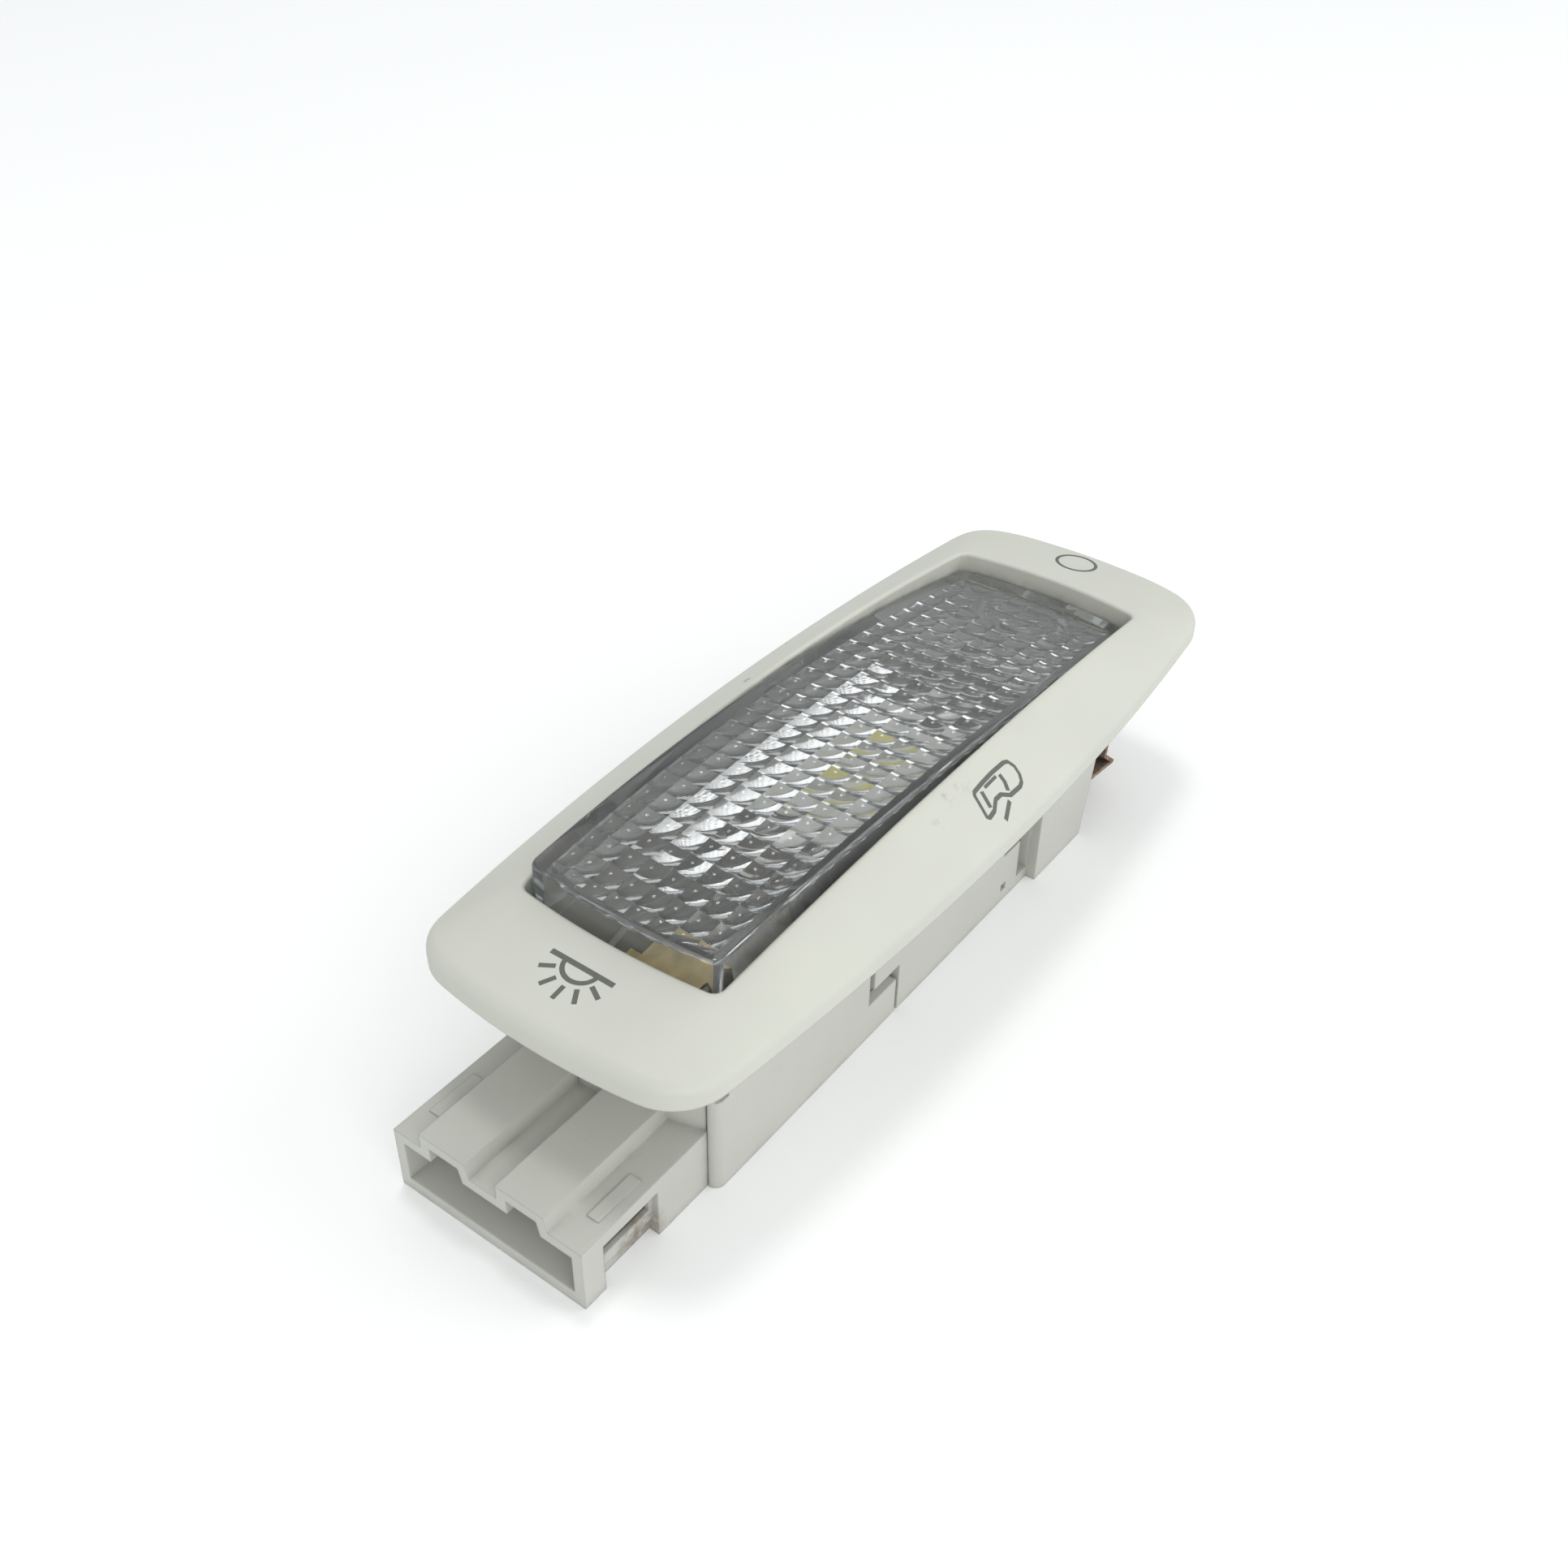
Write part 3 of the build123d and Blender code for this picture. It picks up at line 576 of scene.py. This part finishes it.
def make_marks(bezel):
    """Lamp-on, lamp-off and door-lamp signs on the bezel."""
    tree = surface_tree(bezel)
    marks = []
    bm = bmesh.new()
    stroke(bm, tree, [(LAMP_ON_X, 3.8), (LAMP_ON_X, -3.85)], 0.58)
    stroke(bm, tree, ellipse(LAMP_ON_X, 0, 1.75, 1.95, 97, 263, 28), 0.5)
    for degrees in (-62, -31, 0, 31, 62):
        a = math.radians(degrees)
        ray = [(LAMP_ON_X - r * math.cos(a), r * math.sin(a)) for r in (2.5, 4.15)]
        stroke(bm, tree, ray, 0.5)
    marks.append(mesh_object(bm, "mark_lamp_on"))
    bm = bmesh.new()
    stroke(bm, tree, ellipse(LAMP_OFF_X, 0, 2.35, 2.5, 0, 360, 48)[:-1], 0.42, closed=True)
    marks.append(mesh_object(bm, "mark_lamp_off"))
    bm = bmesh.new()
    body_line = [
        (3.9, -15.44), (4.45, -15.62), (4.8, -16.3), (4.65, -17.1), (4.2, -17.65), (3.6, -17.85),
        (1.66, -17.82), (0.6, -17.25), (-0.45, -17.25), (-1.05, -17.55), (-1.6, -17.85), (-2.75, -17.98),
        (-3.0, -17.8), (-2.5, -15.85), (-2.2, -15.6), (-0.48, -15.48), (1.61, -15.4),
    ]
    windscreen = [(2.25, -15.95), (2.2, -16.7), (1.78, -17.42)]
    side_window = [(-0.66, -15.92), (1.69, -15.87)]
    rear_window = [(-1.36, -15.98), (-1.75, -17.45)]
    open_door = [(1.05, -18.1), (-1.05, -19.0)]
    stroke(bm, tree, body_line, 0.4, closed=True)
    stroke(bm, tree, windscreen, 0.5)
    stroke(bm, tree, side_window, 0.3)
    stroke(bm, tree, rear_window, 0.5)
    stroke(bm, tree, open_door, 0.42)
    marks.append(mesh_object(bm, "mark_door_lamp"))
    return marks


# Materials
def start_material(name):
    """New material with its node tree, principled shader and object coordinates."""
    mat = bpy.data.materials.new(name)
    mat.use_nodes = True
    tree = mat.node_tree
    shader = tree.nodes["Principled BSDF"]
    coords = tree.nodes.new("ShaderNodeTexCoord").outputs["Object"]
    return mat, tree, shader, coords


def noise(tree, coords, scale, detail=3.0, rough=0.5):
    """Noise value between 0 and 1; scale is in features per metre."""
    node = tree.nodes.new("ShaderNodeTexNoise")
    node.inputs["Scale"].default_value = scale
    node.inputs["Detail"].default_value = detail
    node.inputs["Roughness"].default_value = rough
    tree.links.new(coords, node.inputs["Vector"])
    return node.outputs["Fac"]


def ramp(tree, value, low, high):
    """Value stretched so that low becomes 0 and high becomes 1."""
    node = tree.nodes.new("ShaderNodeMapRange")
    node.inputs["From Min"].default_value = low
    node.inputs["From Max"].default_value = high
    tree.links.new(value, node.inputs["Value"])
    return node.outputs["Result"]


def scaled(tree, value, low, high):
    """Value between 0 and 1 put between two limits."""
    node = tree.nodes.new("ShaderNodeMapRange")
    node.inputs["To Min"].default_value = low
    node.inputs["To Max"].default_value = high
    tree.links.new(value, node.inputs["Value"])
    return node.outputs["Result"]


def maths(tree, operation, a, b=None):
    """Result of one sum; a and b are outputs or plain numbers."""
    node = tree.nodes.new("ShaderNodeMath")
    node.operation = operation
    for k, item in enumerate((a, b)):
        if item is None:
            continue
        if isinstance(item, (int, float)):
            node.inputs[k].default_value = item
        else:
            tree.links.new(item, node.inputs[k])
    return node.outputs[0]


def blend(tree, value, first, second):
    """Colour between two colours; each is an output or three linear values."""
    node = tree.nodes.new("ShaderNodeMix")
    node.data_type = "RGBA"
    tree.links.new(value, node.inputs["Factor"])
    for key, item in (("A", first), ("B", second)):
        socket = [s for s in node.inputs if s.name == key and s.type == "RGBA"][0]
        if isinstance(item, tuple):
            socket.default_value = (*item, 1)
        else:
            tree.links.new(item, socket)
    return [s for s in node.outputs if s.type == "RGBA"][0]


def bump(tree, shader, height, strength, distance, edge=None):
    """Relief on the shader's normal, over softened edges where an edge radius is given."""
    node = tree.nodes.new("ShaderNodeBump")
    node.inputs["Strength"].default_value = strength
    node.inputs["Distance"].default_value = distance
    tree.links.new(height, node.inputs["Height"])
    if edge:
        soft = tree.nodes.new("ShaderNodeBevel")
        soft.samples = 6
        soft.inputs["Radius"].default_value = edge
        tree.links.new(soft.outputs["Normal"], node.inputs["Normal"])
    tree.links.new(node.outputs["Normal"], shader.inputs["Normal"])


def corner_shade(tree, distance):
    """Mask for painted shade: 1 in tight corners, 0 on open faces."""
    node = tree.nodes.new("ShaderNodeAmbientOcclusion")
    node.samples = 6
    node.inputs["Distance"].default_value = distance
    return maths(tree, "SUBTRACT", 1.0, node.outputs["AO"])


def near(tree, coords, place, radius):
    """1 at a place given in millimetres, falling to 0 at a radius."""
    node = tree.nodes.new("ShaderNodeVectorMath")
    node.operation = "DISTANCE"
    node.inputs[1].default_value = tuple(c * MM for c in place)
    tree.links.new(coords, node.inputs[0])
    return ramp(tree, node.outputs["Value"], radius * MM, 0.0)


def near_any(tree, coords, spots):
    """Largest nearness to any of several (place, radius) spots."""
    nearest = None
    for place, radius in spots:
        spot = near(tree, coords, place, radius)
        nearest = spot if nearest is None else maths(tree, "MAXIMUM", nearest, spot)
    return nearest


def plastic(name, light, dark, rough, edge, grain):
    """Fine-grained moulded plastic with slight mottling, painted shade in its corners and soft edges."""
    mat, tree, shader, coords = start_material(name)
    mottle = ramp(tree, noise(tree, coords, 90, 4), 0.3, 0.7)
    colour = blend(tree, mottle, light, dark)
    # Painted shade: the colour is darkened in tight corners and creases by ambient occlusion, broken up by
    # noise.
    painted_corner_shade = maths(tree, "MULTIPLY", corner_shade(tree, 0.0012), ramp(tree, noise(tree, coords, 400, 4), 0.3, 0.7))
    corner_shade_colour = tuple(c * 0.42 for c in dark)
    colour = blend(tree, scaled(tree, painted_corner_shade, 0.0, 0.8), colour, corner_shade_colour)
    tree.links.new(colour, shader.inputs["Base Color"])
    fine = noise(tree, coords, 5200, 2)
    tree.links.new(scaled(tree, fine, rough - 0.07, rough + 0.07), shader.inputs["Roughness"])
    shader.inputs["Specular IOR Level"].default_value = 0.4
    bump(tree, shader, fine, grain, 0.00004, edge)
    return mat, tree, shader, coords, colour


def bezel_material():
    """Bezel plastic with rubbed specks on its rim and scuffs on its flank."""
    mat, tree, shader, coords, colour = plastic(
        "bezel_plastic_grained", light=(0.63, 0.635, 0.565), dark=(0.60, 0.605, 0.54),
        rough=0.48, edge=0.0003, grain=0.18)
    specks = near_any(tree, coords, (
        ((-1.2, 14.7, 26.8), 0.8), ((11.2, 18.2, 24.0), 0.7), ((2.8, -12.9, 27.8), 0.5)))
    rough_edge = ramp(tree, noise(tree, coords, 2400, 3, 0.7), 0.42, 0.62)
    worn = maths(tree, "MULTIPLY", ramp(tree, specks, 0.25, 0.6), rough_edge)
    scuffs = near_any(tree, coords, (
        ((-5.3, -14.2, 27.1), 2.2), ((-3.0, -14.5, 27.0), 1.6), ((-9.0, -15.5, 26.3), 1.2)))
    smear = ramp(tree, noise(tree, coords, 1300, 4, 0.7), 0.52, 0.72)
    smear = maths(tree, "MULTIPLY", maths(tree, "MULTIPLY", ramp(tree, scuffs, 0.1, 0.8), smear), 0.55)
    colour = blend(tree, smear, colour, (0.30, 0.30, 0.27))
    colour = blend(tree, worn, colour, (0.09, 0.09, 0.08))
    tree.links.new(colour, shader.inputs["Base Color"])
    return mat


def housing_material():
    """Housing plastic, smoother than the bezel, with painted shade in its corners and a dirty brown patch in
    the plug shroud's side recess.
    """
    mat, tree, shader, coords, colour = plastic(
        "housing_plastic_moulded", light=(0.56, 0.56, 0.51), dark=(0.525, 0.525, 0.48),
        rough=0.3, edge=0.0003, grain=0.08)
    patch = near(tree, coords, (-51.5, -11.4, 1.6), 4.2)
    rough_edge = ramp(tree, noise(tree, coords, 900, 5, 0.65), 0.35, 0.6)
    brown = maths(tree, "MULTIPLY", ramp(tree, patch, 0.15, 0.7), rough_edge)
    colour = blend(tree, scaled(tree, brown, 0.0, 0.85), colour, (0.17, 0.12, 0.075))
    tree.links.new(colour, shader.inputs["Base Color"])
    shader.inputs["Specular IOR Level"].default_value = 0.5
    return mat


def lens_material():
    """Smoked clear plastic: a glassy surface over grey absorption."""
    mat, tree, shader, coords = start_material("smoked_lens_clear")
    shader.inputs["Base Color"].default_value = (1, 1, 1, 1)
    shader.inputs["Transmission Weight"].default_value = 0.97
    shader.inputs["IOR"].default_value = 1.5
    haze = noise(tree, coords, 500, 3)
    tree.links.new(scaled(tree, haze, 0.0, 0.05), shader.inputs["Roughness"])
    bump(tree, shader, noise(tree, coords, 150, 2), 0.03, 0.00005)
    smoke = tree.nodes.new("ShaderNodeVolumeAbsorption")
    smoke.inputs["Color"].default_value = (0.46, 0.50, 0.50, 1)
    smoke.inputs["Density"].default_value = 60
    tree.links.new(smoke.outputs["Volume"], tree.nodes["Material Output"].inputs["Volume"])
    return mat


def metal(name, bright, dull, rough, stain_scale, stain_low, stain_high, brushed=None):
    """Metal with duller stains, and brushed along one axis where a stretch is given."""
    mat, tree, shader, coords = start_material(name)
    stain = ramp(tree, noise(tree, coords, stain_scale, 5, 0.6), stain_low, stain_high)
    tree.links.new(blend(tree, stain, bright, dull), shader.inputs["Base Color"])
    shader.inputs["Metallic"].default_value = 1.0
    where = coords
    if brushed:
        node = tree.nodes.new("ShaderNodeMapping")
        node.inputs["Scale"].default_value = brushed
        tree.links.new(coords, node.inputs["Vector"])
        where = node.outputs["Vector"]
    fine = noise(tree, where, 3000, 3)
    uneven = maths(tree, "ADD", maths(tree, "MULTIPLY", stain, 0.5), maths(tree, "MULTIPLY", fine, 0.5))
    tree.links.new(scaled(tree, uneven, rough - 0.08, rough + 0.14), shader.inputs["Roughness"])
    bump(tree, shader, fine, 0.1, 0.00002, 0.0001)
    return mat


def rusty_material():
    """Spring steel gone brown, with darker scale and a few bare streaks."""
    mat, tree, shader, coords = start_material("rusty_steel_brown")
    rust = ramp(tree, noise(tree, coords, 700, 6, 0.65), 0.38, 0.62)
    scale = ramp(tree, noise(tree, coords, 2600, 4, 0.7), 0.45, 0.7)
    colour = blend(tree, rust, (0.33, 0.29, 0.25), (0.24, 0.115, 0.055))
    colour = blend(tree, maths(tree, "MULTIPLY", scale, 0.6), colour, (0.10, 0.06, 0.04))
    tree.links.new(colour, shader.inputs["Base Color"])
    tree.links.new(scaled(tree, rust, 0.7, 0.05), shader.inputs["Metallic"])
    tree.links.new(scaled(tree, rust, 0.4, 0.75), shader.inputs["Roughness"])
    bump(tree, shader, scale, 0.25, 0.00004, 0.00012)
    return mat


def chip_material():
    """Light-emitting chip: yellow phosphor in a pale package."""
    mat, tree, shader, coords = start_material("phosphor_chip")
    split = tree.nodes.new("ShaderNodeSeparateXYZ")
    tree.links.new(coords, split.inputs["Vector"])
    low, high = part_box("lamp_chip_far")
    middle = (low.x + high.x) / 2
    along = maths(tree, "ABSOLUTE", split.outputs["X"])
    off_x = maths(tree, "ABSOLUTE", maths(tree, "SUBTRACT", along, middle))
    reach = maths(tree, "MAXIMUM", off_x, maths(tree, "ABSOLUTE", split.outputs["Y"]))
    package = ramp(tree, reach, 0.00186, 0.00192)
    grain = noise(tree, coords, 4000, 3)
    yellow = blend(tree, grain, (0.80, 0.76, 0.25), (0.74, 0.69, 0.19))
    tree.links.new(blend(tree, package, yellow, (0.78, 0.77, 0.70)), shader.inputs["Base Color"])
    tree.links.new(scaled(tree, package, 0.22, 0.4), shader.inputs["Roughness"])
    bump(tree, shader, grain, 0.08, 0.00003, 0.0001)
    return mat


def board_material():
    """White solder mask with faint copper runs under it."""
    mat, tree, shader, coords = start_material("board_white_mask")
    runs = ramp(tree, noise(tree, coords, 260, 1), 0.5, 0.52)
    colour = blend(tree, runs, (0.77, 0.78, 0.75), (0.70, 0.70, 0.64))
    tree.links.new(colour, shader.inputs["Base Color"])
    shader.inputs["Roughness"].default_value = 0.35
    bump(tree, shader, runs, 0.15, 0.00003, 0.0001)
    return mat


def resistor_material():
    """Black chip resistor with tinned ends."""
    mat, tree, shader, coords = start_material("resistor_black")
    split = tree.nodes.new("ShaderNodeSeparateXYZ")
    tree.links.new(coords, split.inputs["Vector"])
    along = maths(tree, "SUBTRACT", maths(tree, "ABSOLUTE", split.outputs["Y"]), 0.0022)
    ends = ramp(tree, maths(tree, "ABSOLUTE", along), 0.00112, 0.00118)
    speckle = noise(tree, coords, 5000, 3)
    black = blend(tree, speckle, (0.02, 0.02, 0.02), (0.045, 0.045, 0.045))
    tree.links.new(blend(tree, ends, black, (0.62, 0.62, 0.6)), shader.inputs["Base Color"])
    tree.links.new(ends, shader.inputs["Metallic"])
    shader.inputs["Roughness"].default_value = 0.4
    bump(tree, shader, speckle, 0.1, 0.00003, 0.00008)
    return mat


def ink_material():
    """Matt grey-green ink with slightly uneven cover."""
    mat, tree, shader, coords = start_material("mark_ink")
    cover = ramp(tree, noise(tree, coords, 3500, 4, 0.6), 0.3, 0.75)
    colour = blend(tree, cover, (0.105, 0.112, 0.094), (0.145, 0.15, 0.128))
    tree.links.new(colour, shader.inputs["Base Color"])
    tree.links.new(scaled(tree, cover, 0.5, 0.7), shader.inputs["Roughness"])
    bump(tree, shader, cover, 0.1, 0.00002)
    return mat


def paint(obj, mat):
    """Give every face of an object one material."""
    obj.data.materials.clear()
    obj.data.materials.append(mat)


BRASS = metal(
    "contact_brass_dull", bright=(0.46, 0.37, 0.18), dull=(0.30, 0.24, 0.12), rough=0.34,
    stain_scale=420, stain_low=0.4, stain_high=0.7)
NICKEL = metal(
    "cap_nickel", bright=(0.62, 0.61, 0.58), dull=(0.45, 0.44, 0.41), rough=0.28,
    stain_scale=300, stain_low=0.45, stain_high=0.7, brushed=(0.15, 1, 1))
SHEET = metal(
    "reflector_bright", bright=(0.94, 0.94, 0.94), dull=(0.90, 0.90, 0.89), rough=0.1,
    stain_scale=200, stain_low=0.4, stain_high=0.7, brushed=(0.1, 1, 1))
SINK = metal(
    "heat_sink_satin", bright=(0.74, 0.74, 0.74), dull=(0.60, 0.60, 0.60), rough=0.36,
    stain_scale=250, stain_low=0.4, stain_high=0.7, brushed=(1, 0.1, 1))
STEEL = metal(
    "spring_steel_plain", bright=(0.48, 0.48, 0.47), dull=(0.33, 0.32, 0.30), rough=0.32,
    stain_scale=350, stain_low=0.45, stain_high=0.7, brushed=(1, 1, 0.15))
BY_SLOT = {
    "bezel_plastic": bezel_material(),
    "housing_plastic": housing_material(),
    "smoked_lens": lens_material(),
    "reflector_sheet": SHEET,
    "heat_sink": SINK,
    "board": board_material(),
    "phosphor": chip_material(),
    "resistor": resistor_material(),
    "cap_metal": NICKEL,
    "contact_brass": BRASS,
    "spring_steel": STEEL,
    "rusty_steel": rusty_material(),
}
for part in frame["record"]["subparts"]:
    paint(frame["nodes"][part["node"]], BY_SLOT[part["material_slot"]])

lens = make_lens()
paint(lens, BY_SLOT["smoked_lens"])
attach(lens, "lens")
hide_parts("lens_rocker")

bezel = make_bezel()
paint(bezel, BY_SLOT["bezel_plastic"])
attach(bezel, "body")
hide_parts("bezel")

reflector = make_reflector()
paint(reflector, BY_SLOT["reflector_sheet"])
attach(reflector, "body")
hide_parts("reflector")

INK = ink_material()
for mark in make_marks(bezel):
    paint(mark, INK)
    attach(mark, "body")


# Floor, light and camera
def make_floor():
    """Pale table top."""
    bm = bmesh.new()
    bmesh.ops.create_grid(bm, x_segments=8, y_segments=8, size=3000)
    floor = mesh_object(bm, "floor")
    floor.location.z = -0.00002
    mat, tree, shader, coords = start_material("table_white")
    cloud = noise(tree, coords, 9, 4)
    colour = blend(tree, cloud, (0.93, 0.935, 0.93), (0.90, 0.905, 0.90))
    tree.links.new(colour, shader.inputs["Base Color"])
    shader.inputs["Roughness"].default_value = 0.35
    shader.inputs["Specular IOR Level"].default_value = 0.25
    seen = tree.nodes.new("ShaderNodeLightPath").outputs["Is Camera Ray"]
    shader.inputs["Emission Color"].default_value = (1, 1, 1, 1)
    tree.links.new(scaled(tree, seen, 0.0, 0.12), shader.inputs["Emission Strength"])
    paint(floor, mat)


def make_world():
    """Even soft light from all round, white where it is seen."""
    world = bpy.data.worlds.new("soft_room")
    bpy.context.scene.world = world
    world.use_nodes = True
    tree = world.node_tree
    light = tree.nodes["Background"]
    light.inputs["Color"].default_value = (0.96, 0.985, 1.0, 1)
    light.inputs["Strength"].default_value = 0.72
    seen = tree.nodes.new("ShaderNodeBackground")
    seen.inputs["Color"].default_value = (1, 1, 1, 1)
    seen.inputs["Strength"].default_value = 1.0
    path = tree.nodes.new("ShaderNodeLightPath")
    mix = tree.nodes.new("ShaderNodeMixShader")
    tree.links.new(path.outputs["Is Camera Ray"], mix.inputs["Fac"])
    tree.links.new(light.outputs["Background"], mix.inputs[1])
    tree.links.new(seen.outputs["Background"], mix.inputs[2])
    tree.links.new(mix.outputs["Shader"], tree.nodes["World Output"].inputs["Surface"])


def make_lamp(name, place, target, size, power, colour):
    """Large soft panel turned towards a point."""
    data = bpy.data.lights.new(name, "AREA")
    data.shape = "DISK"
    data.size = size
    data.energy = power
    data.color = colour
    lamp = bpy.data.objects.new(name, data)
    lamp.location = place
    lamp.rotation_euler = (Vector(target) - Vector(place)).to_track_quat("-Z", "Y").to_euler()
    bpy.context.scene.collection.objects.link(lamp)


def make_camera():
    """Camera at the photograph's place and angle."""
    data = bpy.data.cameras.new("camera")
    data.sensor_width = 36.0
    data.lens = 38.648
    data.clip_start = 0.01
    cam = bpy.data.objects.new("camera", data)
    place = Vector((-0.12384, -0.07991, 0.13310))
    right = Vector((0.59758, -0.80167, 0.01468))
    up = Vector((0.48643, 0.37704, 0.78817))
    back = Vector((-0.63739, -0.46386, 0.61528))
    cam.matrix_world = Matrix((
        (right.x, up.x, back.x, place.x),
        (right.y, up.y, back.y, place.y),
        (right.z, up.z, back.z, place.z),
        (0, 0, 0, 1),
    ))
    bpy.context.scene.collection.objects.link(cam)
    bpy.context.scene.camera = cam


make_floor()
make_world()
make_lamp(
    "key", place=(0.1, 0.12, 0.85), target=(0, 0, 0.02),
    size=0.18, power=1.3, colour=(1.0, 0.99, 0.97))
make_lamp(
    "fill", place=(-0.55, -0.8, 0.42), target=(0, 0, 0.01),
    size=0.9, power=3.3, colour=(1.0, 1.0, 0.99))
make_lamp(
    "side", place=(0.64, -0.61, 0.46), target=(0, 0, 0.02),
    size=0.9, power=2.0, colour=(0.98, 0.99, 1.0))
make_camera()
scene = bpy.context.scene
scene.view_settings.view_transform = "Standard"
scene.cycles.max_bounces = 32
scene.cycles.glossy_bounces = 24
scene.cycles.transmission_bounces = 24
